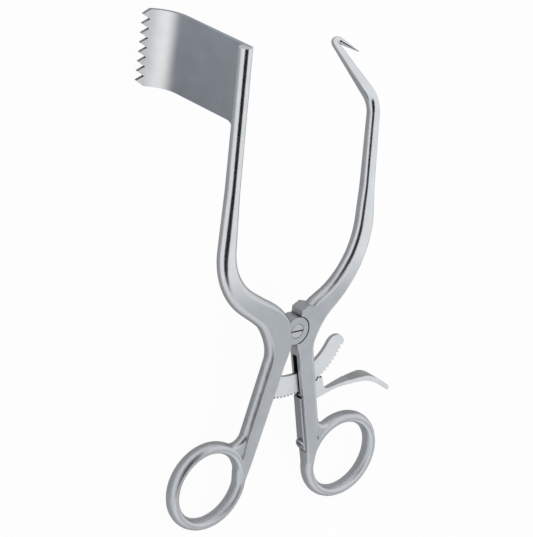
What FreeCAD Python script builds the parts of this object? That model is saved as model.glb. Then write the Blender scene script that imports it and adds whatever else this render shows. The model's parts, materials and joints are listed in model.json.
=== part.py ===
import FreeCAD, Part
import math
import os

# Self-retaining hemilaminectomy retractor, all sizes in millimetres and degrees.
# Modelling frame: origin on the pivot axis, Y towards the blades, Z towards the front
# face with the screw head. place_on_table() then lays the finished pieces down.

V = FreeCAD.Vector
Z_AXIS = V(0, 0, 1)
QUARTER = 0.5523           # pole ratio of a cubic curve that follows a quarter ellipse
near_half = 0.48           # rounding of a round bar, as a share of its width
section_spacing = 2.5      # between the sections of an arm's neck and elbow
taper_spans = 3            # straight spans of the shank's taper
bend_spans = 4             # spans of the hook rod's bend
law_softness = 3.0         # stretch over which an arm's widths are averaged
beyond = 40.0              # cutters reach this far past the pieces they cut

# Arms
arm_thickness = 5.8        # between the flat front and back faces
shank_angle = 14.0         # each shank stands this far off the middle line
shank_offset = 0.5         # inner face of a shank, measured from the pivot's radial line
shank_width = 7.4
neck_corner = 0.3          # sharp corner of the neck, up the shank axis beside the pivot
shaft_width = 5.3
shaft_from = 0.32          # share of the run above the elbow where the arm becomes a round shaft
crisp_edge = 0.5           # rounding of the flat inner side of a shank
outer_round = 3.0          # depth of the rounded outer side
# Outer and inner half width, then the depth of the rounding on each of these sides
taper_section = (2.4, 3.8, 2.55, 0.75)                  # halfway along the shank's taper
neck_sections = ((4.8, 5.8, 3.0, 1.0),                  # at the quarters of the neck's bend
                 (5.6, 6.9, 3.0, 1.5),
                 (5.5, 5.9, 3.0, 2.25),
                 (4.9, 4.9, 3.3, 2.55))
elbow_sections = ((4.4, 4.4, 3.6, 3.45),                # at a quarter, half and end of the elbow
                  (4.1, 4.1, 3.65, 3.65),
                  (3.6, 3.6, 3.45, 3.45))

# Left arm above the neck
blade_neck_angle = 57.5
blade_neck_run = 36.4
blade_neck_radius = 18.0
blade_elbow_radius = 27.0
blade_shaft_lean = 2.1
blade_shaft_end_width = 4.9
blade_shaft_run = 88.5

# Right arm above the neck
hook_neck_angle = 53.0
hook_neck_run = 31.2
hook_neck_radius = 17.0
hook_elbow_radius = 36.4
hook_shaft_lean = 4.1
hook_shaft_run = 63.1
hook_shaft_end_width = 4.7
hook_bend_radius = 8.0
hook_drop = 28.25          # depth of the hook below the arm's middle plane
hook_reach = 16.3          # the hook also goes this far towards the blade end
hook_rod_end = 2.55
hook_radius = 1.8
prong_width = 2.45         # a little less than the rod's end, which it starts from
prong_out = 8.05           # sideways reach of the prong
prong_back = 9.6           # how far it comes back along the rod
prong_tip = 0.35

# Finger rings
ring_radius = 15.1         # to the middle of the ring's section
ring_width = 4.1
ring_depth = 5.6
ring_root_width = 3.6      # section of the shank where it ends inside the ring
ring_root_depth = 5.0
shank_taper = 18.0         # length over which the shank narrows to that section
ring_distance = 64.4       # pivot to ring centre
ring_angle = 29.15
ring_sides = 16            # flats that follow the oval section
ring_fullness = 1 / math.cos(math.pi / ring_sides)
crook_radius = 4.0
crook_thickness = 4.6
crook_edge_round = 2.1
crook_below = 10.0         # how far its web runs on inside the ring

# Lap joint and its screw
lap_radius = 5.3
lap_clearance = 0.10       # between a lap disc and the wall round it
lap_gap = 0.06             # between the two flat lap faces
shoulder_x = 1.2           # end face of the right arm's shoulder
shoulder_height = 7.7
shoulder_root = 4.24       # where it starts, up from the pivot
lap_bevel = 0.2            # along the rim of the front disc and the wall round it
shoulder_back = ((4.2, 9.3), (9.0, 8.0), (7.0, 0.0))    # its outline inside the neck
stop_margin = 0.8          # degrees left before the arms meet their stops
closing_teeth = 5
opening_teeth = 7
neck_cut_radius = 21.2     # the two necks are parted out to here
neck_cut_top = 60.0        # upper ends of the parted fields, from the X axis
neck_cut_back = 150.0
screw_head_diameter = 5.6
screw_head_height = 1.2
screw_diameter = 3.4
screw_slot_width = 0.55
screw_slot_depth = 0.6
screw_bevel = 0.15
running_clearance = 0.05

# Toothed blade
blade_top = 109.3
blade_width = 28.0
blade_inner_x = -35.4
blade_thickness = 1.6
blade_front = 0.8
blade_straight = 35.0
blade_curve_radius = 13.4
blade_curve_angle = 76.0
blade_teeth = 8
blade_tooth_pitch = 3.45
blade_tooth_depth = 2.7
blade_web_radius = 4.0     # fillet where the lower edge runs into the shaft

# Ratchet bar
rack_tip_radius = 27.2
rack_tooth_depth = 1.1
rack_pitch = 3.5           # degrees from tooth to tooth
rack_width = 8.9           # at its seat in the left shank
rack_end_width = 7.4       # at its round end
rack_thickness = 1.4
rack_left = -27.0          # angles from the downward middle line, right side positive
rack_teeth_from = -13.75
rack_teeth = 24
rack_end = 74.6            # furthest point of the bar's round end
rack_end_outer = 70.5
rack_end_inner = 66.0
rack_end_inset = 4.2       # of the furthest point, from the circle of the tooth tips
rack_tip_share = 0.2       # share of a pitch taken by the steep face of a tooth
rivet_diameter = 1.6
rivet_inset = 4.4
rivet_angle = -20.5

# Slot of the right shank and the release lever in it
slot_width = 2.4
slot_from = 11.3           # distances down the shank from the pivot
slot_past_pin = 4.6
pin_diameter = 1.5
pin_gap = 2.8              # from the circle of the tooth tips to the pin's centre
pin_inset = 2.4            # from the pivot's radial line
boss_clearance = 0.1       # between the lever and the leaf spring
pawl_thickness = 2.0
pawl_first_tooth = 12      # the first of the bar's tooth gaps that the pawl fills
pawl_teeth = 3
mesh_clearance = 0.12
pawl_tip_clearance = 0.36  # lets the pawl's tips swing past the bar's steep faces
mesh_shift = 0.2           # degrees that the pawl stands back from the bar's steep faces
heel_length = 3.0
heel_width = 2.0
heel_gap = 0.65            # from the leaf spring, closed as the lever turns

# Outline of the release lever, as X and Y from its pin
pawl_nose = (7.45, 6.6)
pawl_nose_low = (8.45, 3.7)
hollow_middle = (9.3, 2.0)
plate_low = (3.0, -2.75)
strap_top = ((11.35, 1.3), (16.4, 2.55), (20.7, 3.35), (24.9, 3.85), (29.1, 3.7),
             (34.0, 1.75), (40.6, -2.65))
strap_low = ((11.8, -0.15), (16.5, 1.2), (22.4, 1.8), (28.5, 1.8), (33.3, 0.0), (39.8, -4.0))
strap_width = 6.4
strap_root_width = 2.0
strap_taper_to = 31.5      # from the pin, where the strap reaches its full width
strap_corner = 1.3
groove_count = 7
groove_pitch = 0.91
groove_depth = 0.3
groove_width = 0.75
groove_from = 9.8          # along the strap's top

# Leaf spring and its screw
spring_above_pin = 0.6     # the leaf's free end, above the pin
spring_thickness = 0.9
spring_width = 3.6
spring_end_margin = 2.7    # from the screw to the leaf's fixed end
spring_screw_distance = 49.3
spring_screw_head = 3.5
spring_screw_head_height = 0.9
spring_screw_diameter = 2.0
spring_screw_depth = 4.2
spring_screw_slot = 0.5
spring_flat_margin = 1.2   # of the milled flat past both ends of the leaf
spring_flat_depth = 0.1

half_thickness = arm_thickness / 2
pin_distance = math.sqrt((rack_tip_radius + pin_gap) ** 2 - pin_inset ** 2)
boss_radius = pin_inset - shank_offset - spring_flat_depth - boss_clearance
spring_from = pin_distance - spring_above_pin
spring_to = spring_screw_distance + spring_end_margin
parting = (opening_teeth * rack_pitch + stop_margin) / 2
shoulder_angle = math.degrees(math.atan2(shoulder_height, shoulder_x))
shoulder_reach = math.hypot(shoulder_height, shoulder_x)


# Resting attitude
rest_tilt = 16.28          # turns the arms up until rings and blade stand on the table


# Small helpers

def unit(v):
    return V(v).multiply(1 / v.Length)


def polar(radius, angle):
    """Point at an angle from the downward middle line, right side positive."""
    a = math.radians(angle)
    return V(radius * math.sin(a), -radius * math.cos(a), 0)


def shank_point(side, down, out):
    """Point on a shank: side is 1 right or -1 left, down from the pivot, out from its line."""
    a = math.radians(shank_angle)
    x = down * math.sin(a) + out * math.cos(a)
    y = -down * math.cos(a) + out * math.sin(a)
    return V(side * x, y, 0)


def polygon_face(points):
    return Part.Face(Part.makePolygon(points + [points[0]]))


def rounded_face(points, radii):
    """Flat face through the points in order, each corner rounded with its own radius."""
    edges = []
    previous_end = None
    first_start = None
    count = len(points)
    for i in range(count):
        p = points[i]
        before = unit(points[i - 1] - p)
        after = unit(points[(i + 1) % count] - p)
        if radii[i] > 0:
            half = before.getAngle(after) / 2
            back = radii[i] / math.tan(half)
            start = p + before * back
            end = p + after * back
            centre = p + unit(before + after) * (radii[i] / math.sin(half))
            middle = centre + unit(p - centre) * radii[i]
            arc = Part.Arc(start, middle, end).toShape()
        else:
            start = end = p
            arc = None
        if previous_end is None:
            first_start = start
        else:
            edges.append(Part.LineSegment(previous_end, start).toShape())
        if arc:
            edges.append(arc)
        previous_end = end
    edges.append(Part.LineSegment(previous_end, first_start).toShape())
    return Part.Face(Part.Wire(edges))


def slab(face, low, high):
    """A flat face in the XY plane, made solid between two heights."""
    moved = face.copy()
    moved.translate(V(0, 0, low))
    return moved.extrude(V(0, 0, high - low))


def pin(diameter, start, end):
    axis = end - start
    return Part.makeCylinder(diameter / 2, axis.Length, start, axis)


def ribbon_face(start, heading, runs, thickness):
    """Bent strip of even thickness. runs holds (length, turn) pairs, turns in degrees."""
    left, right = [], []
    point = V(start)
    angle = math.radians(heading)
    for length, turn in runs:
        direction = V(math.cos(angle), math.sin(angle), 0)
        normal = V(-direction.y, direction.x, 0)
        if turn == 0:
            end = point + direction * length
            end_normal = normal
            for edges, half in ((left, thickness / 2), (right, -thickness / 2)):
                edges.append(Part.LineSegment(point + normal * half, end + end_normal * half))
        else:
            sweep = math.radians(turn)
            radius = length / sweep
            centre = point + normal * radius
            end = centre - rotated(normal, sweep) * radius
            end_normal = rotated(normal, sweep)
            mid_normal = rotated(normal, sweep / 2)
            for edges, half in ((left, thickness / 2), (right, -thickness / 2)):
                edges.append(Part.Arc(point + normal * half,
                                      centre - mid_normal * (radius - half),
                                      end + end_normal * half))
            angle += sweep
        point = end
    first = Part.LineSegment(right[0].StartPoint, left[0].StartPoint)
    last = Part.LineSegment(left[-1].EndPoint, right[-1].EndPoint)
    curves = [first] + left + [last] + right
    return Part.Face(Part.Wire(Part.__sortEdges__([c.toShape() for c in curves])))


def rotated(v, angle):
    c, s = math.cos(angle), math.sin(angle)
    return V(v.x * c - v.y * s, v.x * s + v.y * c, 0)


# Bars that follow a path

class Path:
    """Straight runs between corners, each inner corner rounded with its own radius."""

    def __init__(self, corners, radii):
        self.pieces = []
        self.marks = []
        here = V(corners[0])
        travelled = 0.0
        for i in range(1, len(corners) - 1):
            before = unit(corners[i] - corners[i - 1])
            after = unit(corners[i + 1] - corners[i])
            turn = before.getAngle(after)
            back = radii[i - 1] * math.tan(turn / 2)
            start = corners[i] - before * back
            run = (start - here).Length
            self.pieces.append((travelled, run, here, before, None, 0, 0))
            travelled += run
            inward = unit(after - before * before.dot(after))
            arc = radii[i - 1] * turn
            self.pieces.append((travelled, arc, start, before, inward, radii[i - 1], turn))
            self.marks.append((travelled, travelled + arc / 2, travelled + arc))
            travelled += arc
            here = corners[i] + after * back
        last = unit(corners[-1] - here)
        self.pieces.append((travelled, (corners[-1] - here).Length, here, last, None, 0, 0))
        self.length = travelled + (corners[-1] - here).Length

    def at(self, distance):
        """Point and direction at a distance along the path."""
        for start, run, origin, direction, inward, radius, turn in self.pieces:
            if distance <= start + run + 1e-6:
                break
        along = distance - start
        if inward is None:
            return origin + direction * along, direction
        a = along / radius
        point = origin + direction * (radius * math.sin(a)) + inward * (radius * (1 - math.cos(a)))
        return point, direction * math.cos(a) + inward * math.sin(a)


def section(point, direction, half_out, half_in, round_out, round_in, thickness):
    """Closed section across a bar: flat front and back, each side a half ellipse."""
    up = unit(Z_AXIS - direction * direction.z)
    inner = direction.cross(up)
    half = thickness / 2

    def at(across, height):
        return point + inner * across + up * height

    def quarter(a, corner, b):
        curve = Part.BezierCurve()
        curve.setPoles([a, a + (corner - a) * QUARTER, b + (corner - b) * QUARTER, b])
        return curve.toShape()

    flat_out, flat_in = -half_out + round_out, half_in - round_in
    edges = [
        Part.LineSegment(at(flat_out, half), at(flat_in, half)).toShape(),
        quarter(at(flat_in, half), at(half_in, half), at(half_in, 0)),
        quarter(at(half_in, 0), at(half_in, -half), at(flat_in, -half)),
        Part.LineSegment(at(flat_in, -half), at(flat_out, -half)).toShape(),
        quarter(at(flat_out, -half), at(-half_out, -half), at(-half_out, 0)),
        quarter(at(-half_out, 0), at(-half_out, half), at(flat_out, half)),
    ]
    return Part.Wire(edges)


def round_section(path, distance, width):
    point, direction = path.at(distance)
    rounding = near_half * width
    return section(point, direction, width / 2, width / 2, rounding, rounding, width)


def law_reading(law, distance):
    """Straight-line reading of a law that lists rows starting with their distance."""
    for low, high in zip(law, law[1:]):
        if distance <= high[0]:
            share = (distance - low[0]) / (high[0] - low[0])
            return [a + (b - a) * share for a, b in zip(low[1:], high[1:])]
    return law[-1][1:]


def law_at(law, distance):
    """Reading averaged over a short stretch, so that the law's corners come out round."""
    reach = min(law_softness, distance, law[-1][0] - distance)
    readings = [law_reading(law, distance + reach * k) for k in (-1, 0, 1)]
    return [sum(values) / len(values) for values in zip(*readings)]


def law_section(path, law, side, distance):
    """Section at a distance; law lists (distance, half_out, half_in, round_out, round_in, thick)."""
    point, direction = path.at(distance)
    half_out, half_in, round_out, round_in, thickness = law_at(law, distance)
    if side > 0:
        half_out, half_in = half_in, half_out
        round_out, round_in = round_in, round_out
    return section(point, direction, half_out, half_in, round_out, round_in, thickness)


def bar(path, law, side):
    """Whole arm along its path in short straight spans: shank, neck and elbow, tapered shaft."""
    neck_start = path.marks[0][0]
    shaft_start, top = law[-2][0], law[-1][0]
    spans = round((shaft_start - neck_start) / section_spacing)
    places = [shank_taper * k / taper_spans for k in range(taper_spans + 1)]
    places += [neck_start + (shaft_start - neck_start) * k / spans for k in range(spans + 1)]
    return Part.makeLoft([law_section(path, law, side, d) for d in places + [top]], True, True)


# Arms

def ring_centre(side):
    centre = polar(ring_distance, ring_angle)
    return V(side * centre.x, centre.y, 0)


def finger_ring(side):
    """Ring whose section follows an oval with even flats."""
    outline = []
    for k in range(ring_sides):
        a = 2 * math.pi * (k + 0.5) / ring_sides
        outline.append(V(-ring_radius + ring_width / 2 * math.cos(a) * ring_fullness,
                         0, ring_depth / 2 * math.sin(a) * ring_fullness))
    ring = polygon_face(outline).revolve(V(0, 0, 0), Z_AXIS, 360)
    ring.translate(ring_centre(side))
    return ring


def crook(side):
    """Web with a hollow edge between the outer side of the shank and its ring."""
    centre = ring_centre(1)
    outer = ring_radius + ring_width / 2
    line = shank_offset + shank_width
    a = math.radians(shank_angle)
    along, across = V(math.sin(a), -math.cos(a), 0), V(math.cos(a), math.sin(a), 0)
    gap = line + crook_radius - centre.dot(across)
    hollow_down = centre.dot(along) - math.sqrt((outer + crook_radius) ** 2 - gap ** 2)
    hollow = shank_point(1, hollow_down, line + crook_radius)
    on_line = shank_point(1, hollow_down, line)
    on_ring = hollow + unit(centre - hollow) * crook_radius
    middle = hollow + unit((on_line - hollow) + (on_ring - hollow)) * crook_radius
    inside_ring = centre + unit(on_ring - centre) * ring_radius
    low = centre + unit(shank_point(1, hollow_down + crook_below, line) - centre) * ring_radius
    inside_shank = shank_point(1, hollow_down, line - ring_width)
    edges = [
        Part.Arc(on_line, middle, on_ring).toShape(),
        Part.LineSegment(on_ring, inside_ring).toShape(),
        Part.LineSegment(inside_ring, low).toShape(),
        Part.LineSegment(low, inside_shank).toShape(),
        Part.LineSegment(inside_shank, on_line).toShape(),
    ]
    web = slab(Part.Face(Part.Wire(edges)), -crook_thickness / 2, crook_thickness / 2)
    rims = [e for e in web.Edges if e.Curve.TypeId == "Part::GeomCircle"]
    web = web.makeFillet(crook_edge_round, rims)
    if side < 0:
        web = web.mirror(V(0, 0, 0), V(1, 0, 0))
    return web


def arm_path(side, neck_angle, neck_run, lean, shaft_run):
    """Corners of an arm's middle line, from its ring to the top of its shaft."""
    axis_out = shank_offset + shank_width / 2
    foot = shank_point(side, 0, axis_out)
    up = shank_point(side, -1, axis_out) - foot
    ring_end = shank_point(side, ring_distance * math.cos(math.radians(ring_angle - shank_angle)),
                           axis_out)
    corner = foot + up * neck_corner
    neck = math.radians(neck_angle)
    elbow = corner + V(side * neck_run * math.sin(neck), neck_run * math.cos(neck), 0)
    tilt = math.radians(lean)
    top = elbow + V(-shaft_run * math.sin(tilt), shaft_run * math.cos(tilt), 0)
    return [ring_end, corner, elbow, top]


def arm_law(path, end_width):
    """Half widths, roundings and thickness of an arm along its path."""
    neck_start, neck_end = path.marks[0][0], path.marks[0][2]
    elbow_start, elbow_end = path.marks[1][0], path.marks[1][2]
    top = path_top(path)
    half_shank = shank_width / 2
    ring_side = ring_distance * math.sin(math.radians(ring_angle - shank_angle))
    ring_in = shank_offset + half_shank - ring_side + ring_radius + ring_root_width / 2
    ring_round = ring_root_width * near_half
    shank = (half_shank, half_shank, outer_round, crisp_edge, arm_thickness)

    def round_row(distance, width):
        return distance, width / 2, width / 2, width * near_half, width * near_half, width

    rows = [(0, ring_root_width - ring_in, ring_in, ring_round, ring_round, ring_root_depth),
            (shank_taper / 2, *taper_section, arm_thickness),
            (shank_taper, *shank),
            (neck_start, *shank)]
    for share, sizes in zip((0.25, 0.5, 0.75, 1), neck_sections):
        rows.append((neck_start + share * (neck_end - neck_start), *sizes, arm_thickness))
    for share, sizes in zip((0.25, 0.5, 1), elbow_sections):
        rows.append((elbow_start + share * (elbow_end - elbow_start), *sizes, arm_thickness))
    rows.append(round_row(elbow_end + shaft_from * (top - elbow_end), shaft_width))
    rows.append(round_row(top, end_width))
    return rows


def path_top(path):
    """End of the shaft: the start of the first bend after the elbow, or the path's end."""
    return path.marks[2][0] if len(path.marks) > 2 else path.length


def lap_pocket(layer):
    """Room for the other arm's disc: layer is 1 in the front half, -1 in the back half."""
    low = -lap_gap / 2 if layer > 0 else lap_gap / 2 - arm_thickness
    return Part.makeCylinder(lap_radius + lap_clearance, arm_thickness, V(0, 0, low))


def lap_rim():
    """Bevel cutter along the rim of the front disc and the edge of the wall round it."""
    inner, outer = lap_radius - lap_bevel, lap_radius + lap_clearance + lap_bevel
    above = half_thickness + lap_bevel
    middle = (inner + outer) / 2
    low = half_thickness - lap_bevel - lap_clearance / 2
    profile = polygon_face([V(inner, 0, half_thickness), V(middle, 0, low),
                            V(outer, 0, half_thickness), V(outer, 0, above), V(inner, 0, above)])
    return profile.revolve(V(0, 0, 0), Z_AXIS, 360)


def lap_disc(layer):
    low = lap_gap / 2 if layer > 0 else -half_thickness
    return Part.makeCylinder(lap_radius, half_thickness - lap_gap / 2, V(0, 0, low))


def sector(inner, outer, start, end):
    """Solid ring sector over the full height, angles counted from the X axis."""
    def at(radius, angle):
        a = math.radians(angle)
        return V(radius * math.cos(a), radius * math.sin(a), 0)
    middle = (start + end) / 2
    edges = [
        Part.Arc(at(outer, start), at(outer, middle), at(outer, end)).toShape(),
        Part.LineSegment(at(outer, end), at(inner, end)).toShape(),
        Part.Arc(at(inner, end), at(inner, middle), at(inner, start)).toShape(),
        Part.LineSegment(at(inner, start), at(outer, start)).toShape(),
    ]
    return slab(Part.Face(Part.Wire(edges)), -arm_thickness, arm_thickness)


def blade_arm(blade, rack):
    """Left arm: ring, shank with the bar's seat, front half of the lap joint and shaft."""
    corners = arm_path(-1, blade_neck_angle, blade_neck_run, blade_shaft_lean, blade_shaft_run)
    path = Path(corners, [blade_neck_radius, blade_elbow_radius])
    body = bar(path, arm_law(path, blade_shaft_end_width), -1)
    body = body.fuse(finger_ring(-1)).fuse(crook(-1))
    body = body.cut(lap_pocket(-1))
    stop = shoulder_angle + closing_teeth * rack_pitch + stop_margin
    body = body.cut(sector(lap_radius, shoulder_reach + lap_clearance, 0, stop))
    body = body.cut(sector(lap_radius, neck_cut_radius, -90 - parting, neck_cut_top))
    body = body.fuse(lap_disc(1))
    free_rim = sector(lap_radius / 2, neck_cut_radius, -90 - parting, neck_cut_top)
    body = body.cut(lap_rim().common(free_rim))
    bore = pin(screw_diameter + 2 * running_clearance, V(0, 0, -arm_thickness),
               V(0, 0, arm_thickness))
    head = pin(screw_head_diameter + 2 * running_clearance,
               V(0, 0, half_thickness - screw_head_height - running_clearance),
               V(0, 0, arm_thickness))
    for space in (bore, head, blade_rebate(), blade, rack, rivet_solid()):
        body = body.cut(space)
    return body


def hook_path():
    corners = arm_path(1, hook_neck_angle, hook_neck_run, hook_shaft_lean, hook_shaft_run)
    top = corners[-1]
    hook = top + V(0, hook_reach, -hook_drop)
    down = unit(hook - top)
    tip = hook + V(prong_out, 0, 0) - down * prong_back
    radii = [hook_neck_radius, hook_elbow_radius, hook_bend_radius, hook_radius]
    return Path(corners + [hook, tip], radii)


def hook_end(path):
    """Rod from the bend to the hook, its turn and the prong drawn down to a point."""
    bend_start, bend_end = path.marks[2][0], path.marks[2][2]
    turn_start, turn_end = path.marks[3][0], path.marks[3][2]
    width = hook_shaft_end_width
    bend = Part.makeLoft([round_section(path, bend_start + (bend_end - bend_start) * k / bend_spans,
                                        width) for k in range(bend_spans + 1)], True, False)
    rod = Part.makeLoft([round_section(path, bend_end, width),
                         round_section(path, turn_start, hook_rod_end)], True, True)
    here, ahead = path.at(turn_start)
    there, back = path.at(turn_end)
    axis = unit(ahead.cross(back))
    round_face = Part.Face(Part.Wire(Part.makeCircle(prong_width / 2, here, ahead)))
    turn = round_face.revolve(here + axis.cross(ahead) * hook_radius, axis,
                              math.degrees(ahead.getAngle(back)))
    prong = Part.makeCone(prong_width / 2, prong_tip / 2, path.length - turn_end, there, back)
    return bend.fuse(rod).fuse(turn).fuse(prong)


def hook_arm():
    """Right arm: ring, slotted shank, back half of the lap joint, shaft and hook."""
    path = hook_path()
    body = bar(path, arm_law(path, hook_shaft_end_width), 1)
    for piece in (finger_ring(1), crook(1), shoulder(), hook_end(path)):
        body = body.fuse(piece)
    beside = Part.makeBox(beyond, beyond, beyond * 2, V(shoulder_x - beyond, 0, -beyond))
    parted = sector(lap_radius, neck_cut_radius, neck_cut_back, 270 + parting)
    for space in (lap_pocket(1), beside, parted, lap_rim()):
        body = body.cut(space)
    body = body.fuse(lap_disc(-1))
    thread = pin(screw_diameter, V(0, 0, -arm_thickness), V(0, 0, arm_thickness))
    for space in (thread, shank_slot(), spring_flat(), pin_solid(), spring_screw_shaft()):
        body = body.cut(space)
    return body


def shoulder():
    """Full-thickness end of the right arm's neck, beside the lap disc."""
    points = [V(0, shoulder_root, 0), V(0, shoulder_height, 0), V(shoulder_x, shoulder_height, 0)]
    points += [V(x, y, 0) for x, y in shoulder_back]
    return slab(polygon_face(points), -half_thickness, half_thickness)


def leaf_face():
    return shank_offset + spring_flat_depth


def shank_block(start, end, inner, outer, half_height):
    """Block along the right shank, from one distance down to another."""
    points = [shank_point(1, start, inner), shank_point(1, end, inner),
              shank_point(1, end, outer), shank_point(1, start, outer)]
    return slab(polygon_face(points), -half_height, half_height)


def shank_slot():
    """Slot through the right shank that the ratchet bar and the lever work in."""
    return shank_block(slot_from, pin_distance + slot_past_pin, -shank_width, 2 * shank_width,
                       slot_width / 2)


def spring_flat():
    """Milled flat on the inner face of the right shank that the leaf spring lies on."""
    return shank_block(spring_from - spring_flat_margin, spring_to + spring_flat_margin,
                       -shank_width, leaf_face(), arm_thickness)


def rivet_solid():
    at = polar(rack_tip_radius - rivet_inset, rivet_angle)
    return pin(rivet_diameter, at - Z_AXIS * half_thickness, at + Z_AXIS * half_thickness)


def pin_centre():
    return shank_point(1, pin_distance, pin_inset)


def pin_solid():
    return pin(pin_diameter, pin_centre() - Z_AXIS * half_thickness,
               pin_centre() + Z_AXIS * half_thickness)


# Blade

def blade_rebate():
    """Side of the shaft that is cut away for the blade plate."""
    foot = blade_top - blade_width - blade_web_radius
    return Part.makeBox(beyond, beyond, beyond,
                        V(blade_inner_x - blade_thickness, foot, blade_front - beyond))


def blade_end():
    """Middle of the plate at its toothed end and the direction it points in."""
    turn = math.radians(blade_curve_angle)
    radius = blade_curve_radius - blade_thickness / 2
    x = blade_inner_x - blade_thickness / 2 - radius * (1 - math.cos(turn))
    z = -blade_straight - radius * math.sin(turn)
    return V(x, 0, z), V(-math.sin(turn), 0, -math.cos(turn))


def tooth_gaps():
    """Zigzag cutter that leaves the blade's teeth standing."""
    end, ahead = blade_end()
    across = V(ahead.z, 0, -ahead.x)
    deep = blade_tooth_depth

    def at(y, back):
        return end + V(0, y, 0) - ahead * back - across * (2 * blade_thickness)

    bottom = blade_top - blade_width
    first = blade_top - (blade_width - (blade_teeth - 1) * blade_tooth_pitch) / 2
    points = [at(blade_top + deep, -deep), at(blade_top + deep, deep), at(blade_top, deep)]
    for i in range(blade_teeth):
        y = first - i * blade_tooth_pitch
        points.append(at(y, 0))
        if i < blade_teeth - 1:
            points.append(at(y - blade_tooth_pitch / 2, deep))
    points += [at(bottom, deep), at(bottom - deep, deep), at(bottom - deep, -deep)]
    return polygon_face(points).extrude(across * (4 * blade_thickness))


def toothed_blade():
    """Plate bent outwards at its end and cut to teeth, let into the shaft with its front edge."""
    middle_x = blade_inner_x - blade_thickness / 2
    curve = math.radians(blade_curve_angle) * (blade_curve_radius - blade_thickness / 2)
    profile = ribbon_face(V(middle_x, blade_front, 0), -90,
                          [(blade_front + blade_straight, 0), (curve, -blade_curve_angle)],
                          blade_thickness)
    plate = profile.extrude(V(0, 0, -blade_width))
    plate.rotate(V(0, 0, 0), V(1, 0, 0), 90)
    plate.translate(V(0, blade_top - blade_width, 0))
    return plate.fuse(blade_web()).cut(tooth_gaps()).removeSplitter()


def blade_web():
    """Hollow fillet between the plate's lower edge and the back of the shaft."""
    foot = blade_top - blade_width - blade_web_radius
    back = -blade_shaft_end_width / 2
    x = blade_inner_x - blade_thickness
    block = Part.makeBox(blade_thickness, blade_web_radius + blade_thickness,
                         blade_front - back + blade_web_radius, V(x, foot, back - blade_web_radius))
    hollow = Part.makeCylinder(blade_web_radius, blade_thickness * 2,
                               V(x - blade_thickness / 2, foot, back - blade_web_radius), V(1, 0, 0))
    return block.cut(hollow)


def slotted_screw(head_diameter, head_height, bevel, shaft_diameter, length, slot_width, slot_depth):
    """Screw along Z, the top of its head at the origin, its slot along X."""
    head = pin(head_diameter, V(0, 0, -head_height), V(0, 0, 0))
    rim = [e for e in head.Edges if e.CenterOfMass.z > -head_height / 4 and e.Closed]
    head = head.makeChamfer(bevel, rim)
    shaft = pin(shaft_diameter, V(0, 0, -length), V(0, 0, -head_height))
    slot = Part.makeBox(head_diameter * 2, slot_width, slot_depth * 2,
                        V(-head_diameter, -slot_width / 2, -slot_depth))
    return head.fuse(shaft).cut(slot).removeSplitter()


def pivot_screw():
    screw = slotted_screw(screw_head_diameter, screw_head_height, screw_bevel, screw_diameter,
                          arm_thickness, screw_slot_width, screw_slot_depth)
    screw.translate(V(0, 0, half_thickness))
    return screw


# Ratchet

def saw_line(first, count, low_clearance, high_clearance, shift):
    """Corner points of the bar's teeth, or of the pawl's line round them with clearances."""
    root = rack_tip_radius - rack_tooth_depth
    points = []
    for i in range(first, first + count):
        angle = rack_teeth_from + i * rack_pitch - shift
        points.append(polar(root + low_clearance, angle))
        points.append(polar(rack_tip_radius + high_clearance, angle + rack_tip_share * rack_pitch))
    return points


def arc_edge(radius, start, end):
    return Part.Arc(polar(radius, start), polar(radius, (start + end) / 2),
                    polar(radius, end)).toShape()


def ratchet_bar():
    """Curved toothed bar round the pivot, held in the left shank."""
    root = rack_tip_radius - rack_tooth_depth
    teeth = saw_line(0, rack_teeth, 0, 0, 0)
    end_outer = polar(rack_tip_radius, rack_end_outer)
    end_inner = polar(rack_tip_radius - rack_end_width, rack_end_inner)
    seat_inner = polar(rack_tip_radius - rack_width, rack_left)
    middle = polar(rack_tip_radius - (rack_width + rack_end_width) / 2,
                   (rack_left + rack_end_inner) / 2)
    teeth.append(end_outer)
    edges = [Part.LineSegment(a, b).toShape() for a, b in zip(teeth, teeth[1:])]
    furthest = polar(rack_tip_radius - rack_end_inset, rack_end)
    edges.append(Part.Arc(end_outer, furthest, end_inner).toShape())
    edges.append(Part.Arc(end_inner, middle, seat_inner).toShape())
    edges.append(Part.LineSegment(seat_inner, polar(root, rack_left)).toShape())
    edges.append(arc_edge(root, rack_left, rack_teeth_from))
    face = Part.Face(Part.Wire(Part.__sortEdges__(edges)))
    return slab(face, -rack_thickness / 2, rack_thickness / 2)


def from_pin(point):
    """A point of the lever's outline, given from its pin, in the modelling frame."""
    return pin_centre() + V(point[0], point[1], 0)


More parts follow.
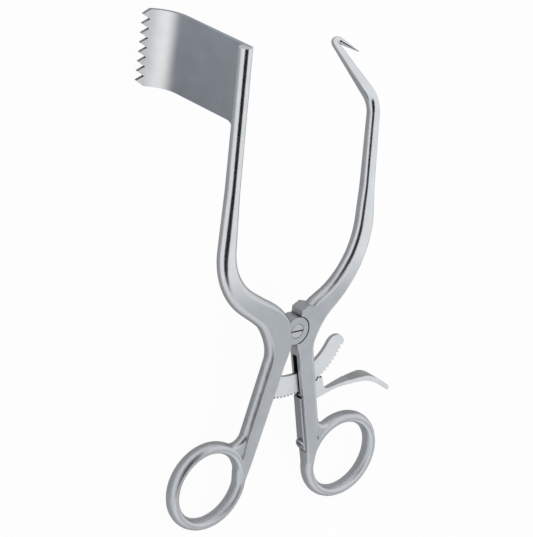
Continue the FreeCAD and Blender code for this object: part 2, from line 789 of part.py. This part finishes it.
def pawl_plate():
    """Flat part of the lever: pawl teeth, boss round the pin, heel and root of the strap."""
    centre = pin_centre()
    a = math.radians(shank_angle)
    down, out = V(math.sin(a), -math.cos(a), 0), V(math.cos(a), math.sin(a), 0)
    half = pawl_thickness / 2
    before = saw_line(pawl_first_tooth - 1, 1, 0, mesh_clearance, mesh_shift)[1]
    teeth = saw_line(pawl_first_tooth, pawl_teeth, pawl_tip_clearance, mesh_clearance, mesh_shift)
    line = [centre - out * boss_radius, before] + teeth + [from_pin(pawl_nose)]
    edges = [Part.LineSegment(p, q).toShape() for p, q in zip(line, line[1:])]
    edges.append(Part.LineSegment(line[-1], from_pin(pawl_nose_low)).toShape())
    edges.append(Part.Arc(from_pin(pawl_nose_low), from_pin(hollow_middle),
                          from_pin(strap_top[0])).toShape())
    back = [from_pin(strap_top[0]), from_pin(strap_low[0]), from_pin(plate_low),
            centre + down * boss_radius, line[0]]
    edges += [Part.LineSegment(p, q).toShape() for p, q in zip(back, back[1:])]
    plate = slab(Part.Face(Part.Wire(edges)), -half, half)
    boss = pin(2 * boss_radius, centre - Z_AXIS * half, centre + Z_AXIS * half)
    inner = leaf_face() + heel_gap
    heel = shank_block(pin_distance, pin_distance + heel_length, inner, inner + heel_width, half)
    return plate.fuse(boss).fuse(heel)


def strap_outline():
    """Cutter for the strap's plan: narrow root, straight sides, round corners at its end."""
    root, half = strap_root_width / 2, strap_width / 2
    start, end = from_pin(strap_top[0]), from_pin(strap_top[-1])
    full = pin_centre().x + strap_taper_to
    points = [V(start.x - half, -root, 0), V(start.x, -root, 0), V(full, -half, 0),
              V(end.x, -half, 0), V(end.x, half, 0), V(full, half, 0), V(start.x, root, 0),
              V(start.x - half, root, 0)]
    plan = rounded_face(points, [0, 0, 0, strap_corner, strap_corner, 0, 0, 0])
    plan.rotate(V(0, 0, 0), V(1, 0, 0), 90)
    return plan.extrude(V(0, -2 * beyond, 0))


def thumb_strap():
    """Curved strap, thinner at its root, with grooves across its top."""
    top, low = Part.BSplineCurve(), Part.BSplineCurve()
    top.interpolate([from_pin(p) for p in strap_top])
    low.interpolate([from_pin(p) for p in strap_low])
    upper = top.toShape()
    sides = [upper, Part.LineSegment(top.EndPoint, low.EndPoint).toShape(), low.toShape(),
             Part.LineSegment(low.StartPoint, top.StartPoint).toShape()]
    profile = Part.Face(Part.Wire(Part.__sortEdges__(sides)))
    strap = slab(profile, -strap_width / 2, strap_width / 2).common(strap_outline())
    for i in range(groove_count):
        place = upper.getParameterByLength(groove_from + i * groove_pitch)
        normal = Z_AXIS.cross(unit(upper.tangentAt(place)))
        at = upper.valueAt(place) + normal * (groove_width / 2 - groove_depth)
        strap = strap.cut(pin(groove_width, at - Z_AXIS * strap_width, at + Z_AXIS * strap_width))
    return strap


def release_lever():
    """Sprung lever: pawl in the shank's slot and a strap for the thumb."""
    lever = pawl_plate().fuse(thumb_strap())
    bore = pin(pin_diameter + 2 * running_clearance, pin_centre() - Z_AXIS * arm_thickness,
               pin_centre() + Z_AXIS * arm_thickness)
    return lever.cut(bore).removeSplitter()


def leaf_spring():
    """Flat leaf, its free end over the slot beside the lever's heel."""
    face = leaf_face()
    leaf = shank_block(spring_from, spring_to, face - spring_thickness, face, spring_width / 2)
    return leaf.cut(spring_screw_shaft()).removeSplitter()


def spring_screw_shaft():
    return pin(spring_screw_diameter, shank_point(1, spring_screw_distance, -shank_width),
               shank_point(1, spring_screw_distance, shank_offset + spring_screw_depth))


def spring_screw():
    """Round slotted head on the leaf, shaft threaded into the shank."""
    top = leaf_face() - spring_thickness - spring_screw_head_height
    length = shank_offset + spring_screw_depth - top
    screw = slotted_screw(spring_screw_head, spring_screw_head_height, screw_bevel,
                          spring_screw_diameter, length, spring_screw_slot, spring_screw_slot)
    screw.rotate(V(0, 0, 0), V(0, 1, 0), -90)
    screw.rotate(V(0, 0, 0), Z_AXIS, shank_angle)
    screw.translate(shank_point(1, spring_screw_distance, top))
    return screw


def place_on_table(parts):
    """Lay the pieces down on both rings and the blade's lowest tooth, middle over the origin."""
    boxes = []
    for shape in parts.values():
        shape.rotate(V(0, 0, 0), V(1, 0, 0), rest_tilt)
        boxes.append(shape.optimalBoundingBox(False))
    middle_x = (min(b.XMin for b in boxes) + max(b.XMax for b in boxes)) / 2
    middle_y = (min(b.YMin for b in boxes) + max(b.YMax for b in boxes)) / 2
    for shape in parts.values():
        shape.translate(V(-middle_x, -middle_y, -min(b.ZMin for b in boxes)))


def build():
    rack = ratchet_bar()
    blade = toothed_blade()
    return {
        "blade_arm": blade_arm(blade, rack),
        "toothed_blade": blade,
        "ratchet_bar": rack.cut(rivet_solid()),
        "ratchet_bar_rivet": rivet_solid(),
        "hook_arm": hook_arm(),
        "pivot_screw": pivot_screw(),
        "release_lever": release_lever(),
        "lever_pin": pin_solid(),
        "leaf_spring": leaf_spring(),
        "spring_screw": spring_screw(),
    }


def main():
    os.makedirs("parts", exist_ok=True)
    parts = build()
    place_on_table(parts)
    for name, shape in parts.items():
        print(name, len(shape.Solids), shape.isValid(), round(shape.Volume, 1))
        shape.exportStep("parts/" + name + ".step")


main()
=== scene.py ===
import json
import math

import bpy
from mathutils import Matrix, Vector


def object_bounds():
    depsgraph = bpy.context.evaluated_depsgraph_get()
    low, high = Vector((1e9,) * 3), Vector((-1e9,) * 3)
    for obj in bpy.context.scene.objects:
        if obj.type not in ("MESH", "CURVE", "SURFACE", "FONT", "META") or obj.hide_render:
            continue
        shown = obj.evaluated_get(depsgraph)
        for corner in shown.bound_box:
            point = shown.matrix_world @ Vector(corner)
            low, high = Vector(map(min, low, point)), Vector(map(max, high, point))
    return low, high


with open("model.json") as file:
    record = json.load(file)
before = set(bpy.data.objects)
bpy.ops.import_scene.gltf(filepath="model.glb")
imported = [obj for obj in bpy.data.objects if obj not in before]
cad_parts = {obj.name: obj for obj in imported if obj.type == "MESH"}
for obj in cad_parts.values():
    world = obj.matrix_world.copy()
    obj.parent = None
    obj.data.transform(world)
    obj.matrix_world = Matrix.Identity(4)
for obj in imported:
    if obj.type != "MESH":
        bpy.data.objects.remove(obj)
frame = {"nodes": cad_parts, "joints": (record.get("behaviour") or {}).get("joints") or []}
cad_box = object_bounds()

# Stainless hemilaminectomy retractor on a white table. Lengths are metres, colours linear.
# The instrument's own axes have their origin on the pivot, X to the hook arm, Y to the
# blades and Z out of the front face.

MM = 0.001
WHITE = (1, 1, 1, 1)

# Camera, in the instrument's axes
AIM = Vector((-0.003985, 0.018662, -0.013365))
CAMERA_RIGHT = Vector((0.76944, 0.1199, 0.62736))
CAMERA_UP = Vector((0.14507, 0.92375, -0.35447))
CAMERA_DISTANCE = 0.955
SENSOR_WIDTH = 36.0
LENS = 180.2
CLIP_END = 20.0

# Arms: the shafts are polished, and from the neck down the steel is satin, with painted shade in
# its colour that is darkest on the flats
POLISHED = (0.665, 0.69, 0.715)
POLISHED_ROUGHNESS = 0.20
# painted shade: a darker colour on faces that look squarely to the front or back
FLAT_SHADE_COLOUR = (0.415, 0.44, 0.47)
SATIN_ROUGHNESS = 0.37
ROUND_SHADE_SHARE = 0.4                      # share of the flats' painted shade, on round forms below the neck
FLAT_FROM, FLAT_FULL = 0.90, 0.985     # how squarely a face looks to the front or back
NECK_LOW, NECK_HIGH = 8 * MM, 30 * MM  # the satin and its painted shade fade out between these heights

# Blade: matt, with a painted highlight on its bent end: a much lighter colour and less metal, so
# that most of that end's light is diffuse
BLADE_COLOUR = (0.395, 0.435, 0.475)
BLADE_ROUGHNESS = 0.46
# painted highlight on the bent end
BLADE_END_HIGHLIGHT_COLOUR = (0.86, 0.87, 0.88)
BLADE_END_METALLIC = 0.35
BENT_FROM, BENT_FULL = 0.1, 0.6        # how much a face of the bent end looks to the front, where the painted highlight starts and is full

# Ratchet bar and lever, then the spring and the screws
BRIGHT_COLOUR = (0.645, 0.665, 0.685)
BRIGHT_ROUGHNESS = 0.34
SPRING_COLOUR = (0.46, 0.48, 0.51)
SPRING_ROUGHNESS = 0.26

# Drawn grain and clouding of all the steel
GRAIN_SIZE = 0.12 * MM
GRAIN_HEIGHT = 0.004 * MM
GRAIN_STRENGTH = 0.6
GRAIN_DETAIL = 2.0
GRAIN_RANGE = (0.2, 0.8)               # noise values that the change in roughness spreads over
GRAIN_ROUGHNESS = (-0.03, 0.03)
ARM_GRAIN = (1.0, 0.25, 1.0)           # scale along each axis: less than 1 draws it out
BRIGHT_GRAIN = (0.4, 1.0, 1.0)
SPRING_GRAIN = (1.0, 0.2, 1.0)
CLOUD_SIZE = 6 * MM
CLOUD_DETAIL = 4.0
CLOUD_RANGE = (0.3, 0.7)
CLOUD_TONE = (0.95, 1.05)
CLOUD_ROUGHNESS = (-0.02, 0.03)

# Edges, and painted shade in crevices and round the joint
EDGE_RADIUS = 0.12 * MM
EDGE_SAMPLES = 4
SMOOTH_UP_TO = math.radians(24)        # sharper edges stay sharp
MERGE_DISTANCE = 1e-6
# painted shade in crevices: the colour darkens where other faces are near
CREVICE_REACH = 4.0 * MM
CREVICE_SAMPLES = 6
CREVICE_SHADE = 0.08
CREVICE_RANGE = (0.22, 0.72)           # open share of the surroundings
JOINT_SHADE_RADII = (5.55 * MM, 5.70 * MM)    # radius up to which the joint's wall has painted shade, and free of it
JOINT_SHADE_ABOVE = MM                  # only the front half of that wall has the painted shade

# Table and room
TABLE_SIZE = 3.0
TABLE_COLOUR = (0.8, 0.8, 0.8, 1)
SHADOW_SHARE = 0.05                    # of the table's own shading, in the white it shows
ROOM_LEVEL = 0.95

# Cards that only reflections show, as painted reflections: a dark one over the shafts, with
# its corners in the instrument's axes, and a grey one on the table, with painted shade
# under the instrument that fades out to white
CARD_OUTLINE = ((-0.110, -0.105), (-0.030, -0.105), (-0.012, 0.050), (0.025, 0.190),
                (-0.170, 0.190), (-0.170, 0.0))
CARD_HEIGHT = 0.124
# painted dark reflection: brightness of the dark card
CARD_LEVEL = 0.02
GREY_HALF = 0.24
GREY_HEIGHT = 0.02 * MM
GREY_RADII = (0.06, 0.24)
# painted shade in reflections: brightness of the grey card, from under the instrument out to the
# table's white
REFLECTED_SHADE_LEVELS = (0.38, 1.0)


def instrument_axes():
    """Turns the instrument's own axes into the model's, from the arms' hinge."""
    hinge = next(j for j in frame["joints"] if j["name"] == "arms_pivot")
    front = -Vector(hinge["axis"]).normalized()
    right = Vector((1, 0, 0))
    up = front.cross(right)
    turn = Matrix((right, up, front)).transposed().to_4x4()
    return Matrix.Translation(Vector(hinge["pos_m"])) @ turn


def add_camera(axes):
    back = CAMERA_RIGHT.cross(CAMERA_UP)
    local = Matrix((CAMERA_RIGHT, CAMERA_UP, back)).transposed().to_4x4()
    local.translation = AIM + back * CAMERA_DISTANCE
    data = bpy.data.cameras.new("photo_camera")
    data.sensor_fit = "HORIZONTAL"
    data.sensor_width = SENSOR_WIDTH
    data.lens = LENS
    data.clip_end = CLIP_END
    camera = bpy.data.objects.new("photo_camera", data)
    camera.matrix_world = axes @ local
    bpy.context.scene.collection.objects.link(camera)
    bpy.context.scene.camera = camera


# Nodes

class Nodes:
    """Small helper that adds and joins the nodes of one tree."""

    def __init__(self, tree):
        self.tree = tree
        tree.nodes.clear()

    def add(self, kind, inputs=None, **settings):
        node = self.tree.nodes.new(kind)
        for name, value in settings.items():
            setattr(node, name, value)
        for name, value in (inputs or {}).items():
            if isinstance(value, bpy.types.NodeSocket):
                self.tree.links.new(value, node.inputs[name])
            else:
                node.inputs[name].default_value = value
        return node

    def math(self, operation, a, b):
        return self.add("ShaderNodeMath", {0: a, 1: b}, operation=operation).outputs[0]

    def vector(self, operation, *values):
        """Vector that comes from one or two others."""
        inputs = dict(enumerate(values))
        return self.add("ShaderNodeVectorMath", inputs, operation=operation).outputs["Vector"]

    def dot(self, a, b):
        return self.add("ShaderNodeVectorMath", {0: a, 1: b},
                        operation="DOT_PRODUCT").outputs["Value"]

    def length(self, a):
        return self.add("ShaderNodeVectorMath", {0: a}, operation="LENGTH").outputs["Value"]

    def coordinate(self, name):
        return self.add("ShaderNodeTexCoord").outputs[name]

    def noise(self, place, size, detail):
        return self.add("ShaderNodeTexNoise", {"Vector": place, "Scale": 1 / size,
                                               "Detail": detail}).outputs["Fac"]

    def map_range(self, value, source, target, smooth=False):
        kind = "SMOOTHSTEP" if smooth else "LINEAR"
        inputs = {"Value": value, "From Min": source[0], "From Max": source[1],
                  "To Min": target[0], "To Max": target[1]}
        return self.add("ShaderNodeMapRange", inputs, interpolation_type=kind).outputs["Result"]

    def backdrop_rays(self):
        """1 for the rays that show the white backdrop: the camera's and all reflections."""
        path = self.add("ShaderNodeLightPath").outputs
        mirrored = self.math("ADD", path["Is Glossy Ray"], path["Is Transmission Ray"])
        return self.math("MINIMUM", self.math("ADD", path["Is Camera Ray"], mirrored), 1)


def new_material(name):
    material = bpy.data.materials.new(name)
    material.use_nodes = True
    return material, Nodes(material.node_tree)


# Steel

def arm_shade_and_satin_shares(nodes, axes):
    """Shares of the painted shade, darkest on the flats, and of the satin finish: both end in
    the neck.
    """
    _, up, front = axes.to_3x3().transposed()
    square = nodes.math("ABSOLUTE", nodes.dot(nodes.coordinate("Normal"), front), 0)
    flat = nodes.map_range(square, (FLAT_FROM, FLAT_FULL), (0, 1), smooth=True)
    place = nodes.vector("SUBTRACT", nodes.coordinate("Object"), axes.translation)
    below = nodes.map_range(nodes.dot(place, up), (NECK_LOW, NECK_HIGH), (1, 0), smooth=True)
    # painted shade: full on the flats, part of it on round forms
    dark = nodes.math("MAXIMUM", flat, ROUND_SHADE_SHARE)
    return nodes.math("MULTIPLY", dark, below), below


def blade_highlight_shares(nodes, axes):
    """Share of the painted highlight: 1 on the bent end, which looks to the front."""
    _, _, front = axes.to_3x3().transposed()
    facing = nodes.dot(nodes.coordinate("Normal"), front)
    bent = nodes.map_range(facing, (BENT_FROM, BENT_FULL), (0, 1), smooth=True)
    return bent, bent


def joint_gap_shade(nodes, axes):
    """Painted shade: a dark line where the hook arm's front half has its wall round the lap
    disc.
    """
    _, _, front = axes.to_3x3().transposed()
    place = nodes.vector("SUBTRACT", nodes.coordinate("Object"), axes.translation)
    radius = nodes.length(nodes.vector("CROSS_PRODUCT", place, front))
    free = nodes.map_range(radius, JOINT_SHADE_RADII, (CREVICE_SHADE, 1), smooth=True)
    behind = nodes.math("LESS_THAN", nodes.dot(place, front), JOINT_SHADE_ABOVE)
    return nodes.math("MAXIMUM", free, behind)


def finish(nodes, colour, roughness, second):
    """Colour, roughness and metallic of one finish, or of two that change over, the second's
    colour carrying painted shade or a painted highlight.
    """
    if not second:
        return colour, roughness, 1.0
    shares, other_colour, other_roughness, other_metallic = second
    colour_share, rough_share = shares(nodes)
    base = nodes.add("ShaderNodeMix", {"Factor": colour_share, 6: (*colour, 1),
                                       7: (*other_colour, 1)}, data_type="RGBA").outputs[2]
    metallic = 1.0
    if other_metallic < 1:
        metallic = nodes.map_range(rough_share, (0, 1), (1, other_metallic))
    return base, nodes.map_range(rough_share, (0, 1), (roughness, other_roughness)), metallic


def crevice_shade(nodes, dark_line):
    """Painted shade: dark where other faces are near, and along the line that dark_line draws.
    """
    open_share = nodes.add("ShaderNodeAmbientOcclusion", {"Distance": CREVICE_REACH},
                           samples=CREVICE_SAMPLES).outputs["AO"]
    shade = nodes.map_range(open_share, CREVICE_RANGE, (CREVICE_SHADE, 1), smooth=True)
    return nodes.math("MULTIPLY", shade, dark_line(nodes)) if dark_line else shade


def steel(name, colour, roughness, grain_scale, second=None, dark_line=None):
    """Ground steel with faint clouding, drawn grain and painted shade in crevices.

    second is another finish on the same piece, with painted shade or a painted highlight in
    its colour: a function that gives the shares of its colour and of its roughness, then its
    colour, roughness and metallic.
    """
    material, nodes = new_material(name)
    place = nodes.coordinate("Object")
    drawn = nodes.add("ShaderNodeMapping", {"Vector": place, "Scale": grain_scale}).outputs[0]
    grain = nodes.noise(drawn, GRAIN_SIZE, GRAIN_DETAIL)
    cloud = nodes.noise(place, CLOUD_SIZE, CLOUD_DETAIL)

    base, roughness, metallic = finish(nodes, colour, roughness, second)
    tone = nodes.math("MULTIPLY", nodes.map_range(cloud, CLOUD_RANGE, CLOUD_TONE),
                      crevice_shade(nodes, dark_line))
    shade = nodes.add("ShaderNodeVectorMath", {0: base, "Scale": tone}, operation="SCALE")
    uneven = nodes.math("ADD", nodes.map_range(cloud, CLOUD_RANGE, CLOUD_ROUGHNESS),
                        nodes.map_range(grain, GRAIN_RANGE, GRAIN_ROUGHNESS))

    edge = nodes.add("ShaderNodeBevel", {"Radius": EDGE_RADIUS}, samples=EDGE_SAMPLES).outputs[0]
    bump = nodes.add("ShaderNodeBump", {"Height": grain, "Strength": GRAIN_STRENGTH,
                                        "Normal": edge, "Distance": GRAIN_HEIGHT})
    shader = nodes.add("ShaderNodeBsdfPrincipled",
                       {"Base Color": shade.outputs[0], "Metallic": metallic,
                        "Roughness": nodes.math("ADD", uneven, roughness),
                        "Normal": bump.outputs["Normal"]})
    nodes.add("ShaderNodeOutputMaterial", {"Surface": shader.outputs[0]})
    return material


def make_steels(axes):
    """Steel of every solid, by name."""
    satin_and_flat_shade = (lambda nodes: arm_shade_and_satin_shares(nodes, axes), FLAT_SHADE_COLOUR, SATIN_ROUGHNESS, 1)
    bent_end_highlight = (lambda nodes: blade_highlight_shares(nodes, axes), BLADE_END_HIGHLIGHT_COLOUR, BLADE_ROUGHNESS,
               BLADE_END_METALLIC)
    arm = steel("arm_steel", POLISHED, POLISHED_ROUGHNESS, ARM_GRAIN, satin_and_flat_shade)
    hook_arm = steel("hook_arm_steel", POLISHED, POLISHED_ROUGHNESS, ARM_GRAIN, satin_and_flat_shade,
                     lambda nodes: joint_gap_shade(nodes, axes))
    blade = steel("blade_steel", BLADE_COLOUR, BLADE_ROUGHNESS, ARM_GRAIN, bent_end_highlight)
    bright = steel("ground_steel", BRIGHT_COLOUR, BRIGHT_ROUGHNESS, BRIGHT_GRAIN)
    spring = steel("spring_steel", SPRING_COLOUR, SPRING_ROUGHNESS, SPRING_GRAIN)
    return {
        "blade_arm": arm,
        "toothed_blade": blade,
        "ratchet_bar": bright,
        "ratchet_bar_rivet": arm,
        "hook_arm": hook_arm,
        "pivot_screw": spring,
        "release_lever": bright,
        "lever_pin": arm,
        "leaf_spring": spring,
        "spring_screw": spring,
    }


def smooth_shading():
    """Geometry nodes that join the shading of neighbouring faces over all but real edges."""
    group = bpy.data.node_groups.new("smooth_shading", "GeometryNodeTree")
    for way in ("INPUT", "OUTPUT"):
        group.interface.new_socket("Geometry", in_out=way, socket_type="NodeSocketGeometry")
    nodes = Nodes(group)
    mesh = nodes.add("NodeGroupInput").outputs[0]
    mesh = nodes.add("GeometryNodeMergeByDistance", {"Geometry": mesh,
                                                     "Distance": MERGE_DISTANCE}).outputs[0]
    mesh = nodes.add("GeometryNodeRemoveAttribute", {"Geometry": mesh,
                                                     "Name": "custom_normal"}).outputs[0]
    mesh = nodes.add("GeometryNodeSetShadeSmooth", {"Geometry": mesh}, domain="FACE").outputs[0]
    angle = nodes.add("GeometryNodeInputMeshEdgeAngle").outputs["Unsigned Angle"]
    soft = nodes.math("LESS_THAN", angle, SMOOTH_UP_TO)
    mesh = nodes.add("GeometryNodeSetShadeSmooth", {"Geometry": mesh, "Shade Smooth": soft},
                     domain="EDGE").outputs[0]
    nodes.add("NodeGroupOutput", {0: mesh})
    return group


def dress_nodes(axes):
    """Gives every solid of the frame its steel and an even shading."""
    steels = make_steels(axes)
    group = smooth_shading()
    for name, node in frame["nodes"].items():
        node.data.materials.clear()
        node.data.materials.append(steels[name])
        node.modifiers.new("smooth_shading", "NODES").node_group = group
        node.modifiers.new("even_normals", "WEIGHTED_NORMAL").keep_sharp = True


# Table, cards and room

def square(half, height):
    return [(x * half, y * half, height) for x, y in ((-1, -1), (1, -1), (1, 1), (-1, 1))]


def add_sheet(name, corners):
    """Flat stage object with one face."""
    mesh = bpy.data.meshes.new(name)
    mesh.from_pydata(corners, [], [tuple(range(len(corners)))])
    sheet = bpy.data.objects.new(name, mesh)
    bpy.context.scene.collection.objects.link(sheet)
    material, nodes = new_material(name)
    mesh.materials.append(material)
    return sheet, material, nodes


def add_table(height):
    """Pale table that shows as white, with a faint shadow, to the camera and in the steel."""
    _, _, nodes = add_sheet("table", square(TABLE_SIZE / 2, height))
    own = nodes.add("ShaderNodeBsdfDiffuse", {"Color": TABLE_COLOUR}).outputs[0]
    white = nodes.add("ShaderNodeEmission", {"Color": WHITE, "Strength": 1.0}).outputs[0]
    backdrop = nodes.add("ShaderNodeMixShader", {0: SHADOW_SHARE, 1: white, 2: own}).outputs[0]
    both = nodes.add("ShaderNodeMixShader", {0: nodes.backdrop_rays(), 1: own, 2: backdrop})
    nodes.add("ShaderNodeOutputMaterial", {"Surface": both.outputs[0]})


def add_card(name, corners, level):
    """Card that only reflections show, as a painted reflection. level adds the nodes of its
    brightness.
    """
    card, material, nodes = add_sheet(name, corners)
    card.visible_camera = card.visible_diffuse = card.visible_shadow = False
    card.visible_transmission = card.visible_volume_scatter = False
    material.cycles.emission_sampling = "NONE"
    glow = nodes.add("ShaderNodeEmission", {"Color": WHITE, "Strength": level(nodes)})
    nodes.add("ShaderNodeOutputMaterial", {"Surface": glow.outputs[0]})


def reflected_shade_level(nodes):
    """Painted shade in reflections: darkest under the instrument, and out to the table's white.
    """
    away = nodes.length(nodes.coordinate("Object"))
    return nodes.map_range(away, GREY_RADII, REFLECTED_SHADE_LEVELS, smooth=True)


def add_cards(axes, table_height):
    over = [axes @ Vector((x, y, CARD_HEIGHT)) for x, y in CARD_OUTLINE]
    add_card("dark_card", over, lambda nodes: CARD_LEVEL)
    add_card("grey_card", square(GREY_HALF, table_height + GREY_HEIGHT), reflected_shade_level)


def add_room():
    """Plain pale room that shows as white to the camera and in the steel."""
    world = bpy.data.worlds.new("room")
    bpy.context.scene.world = world
    world.use_nodes = True
    nodes = Nodes(world.node_tree)
    room = nodes.add("ShaderNodeBackground", {"Color": WHITE, "Strength": ROOM_LEVEL}).outputs[0]
    white = nodes.add("ShaderNodeBackground", {"Color": WHITE, "Strength": 1.0}).outputs[0]
    both = nodes.add("ShaderNodeMixShader", {0: nodes.backdrop_rays(), 1: room, 2: white})
    nodes.add("ShaderNodeOutputWorld", {"Surface": both.outputs[0]})


def main():
    bpy.context.scene.view_settings.view_transform = "Standard"
    axes = instrument_axes()
    table_height = cad_box[0][2]
    add_camera(axes)
    dress_nodes(axes)
    add_table(table_height)
    add_cards(axes, table_height)
    add_room()


main()
